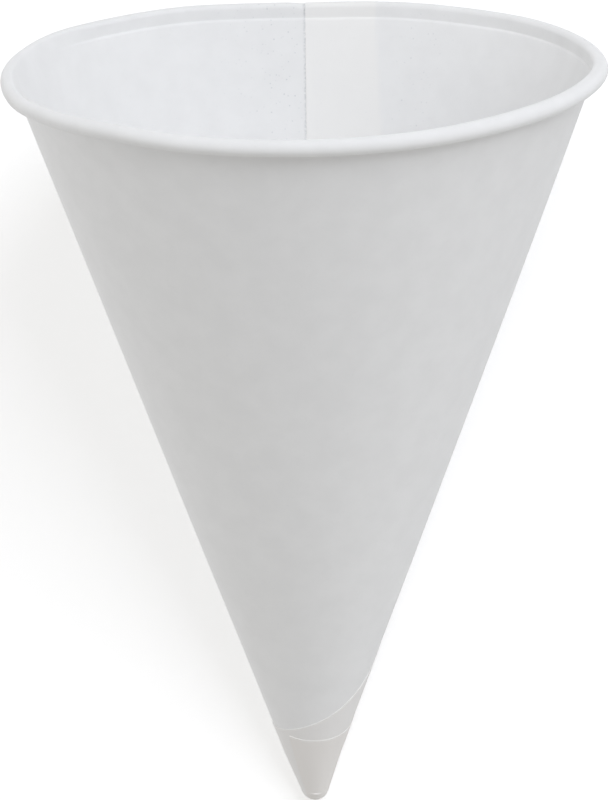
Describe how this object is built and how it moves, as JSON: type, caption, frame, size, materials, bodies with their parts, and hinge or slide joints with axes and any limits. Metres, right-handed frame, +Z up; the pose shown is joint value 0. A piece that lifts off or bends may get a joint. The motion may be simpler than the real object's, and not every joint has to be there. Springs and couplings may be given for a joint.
{
  "type": "cone paper cup",
  "caption": "Disposable white paper cup wound as a pointed cone, with an outward curled rim, a glued lap and a closed, layered tip. It lies on its side.",
  "frame": {"origin": "centre of the bounding box's underside, on the surface that the cup lies on", "axes": "+Y along the surface towards the mouth, with the tip at -Y; +Z up; +X across the cup, to the right as seen from above with the mouth away from the viewer"},
  "size_m": [0.072, 0.0988, 0.0674],
  "materials": {
    "white_paper": "matte uncoated white cup paper"
  },
  "bodies": {
    "root": {"cone_cup": "white_paper"}
  },
  "joints": []
}
